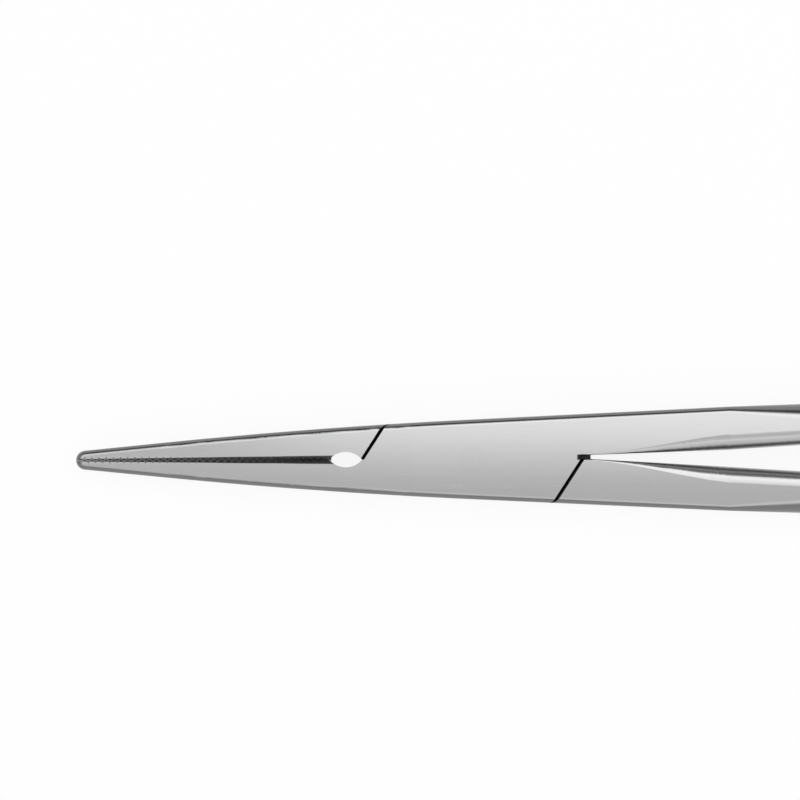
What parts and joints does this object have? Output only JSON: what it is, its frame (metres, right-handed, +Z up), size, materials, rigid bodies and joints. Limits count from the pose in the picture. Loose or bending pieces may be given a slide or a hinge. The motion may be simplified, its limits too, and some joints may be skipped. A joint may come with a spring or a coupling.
{
  "type": "box-lock ligature forceps",
  "caption": "Slender straight surgical forceps with a flush box lock, cross-serrated tapering jaws, long shanks, finger rings and a ratchet.",
  "frame": {"origin": "on the pin's axis, at the plane that the instrument lies on", "axes": "-X to the jaw tips, +X to the rings, +Y to the upper shank, +Z up through the thickness"},
  "size_m": [0.125, 0.0488, 0.0034],
  "materials": {
    "satin_steel": "satin, polished along the length",
    "pin_steel": "satin, ground flush with the cheeks"
  },
  "bodies": {
    "female": {"female_half": "satin_steel", "pivot_pin": "pin_steel"},
    "male": {"male_half": "satin_steel"}
  },
  "joints": [
    {"name": "box_lock_pin", "type": "hinge", "parent": "female", "child": "male", "pos_m": [0, 0, 0.00171], "axis": [0, 0, -1], "range_deg": [0, 60]}
  ]
}
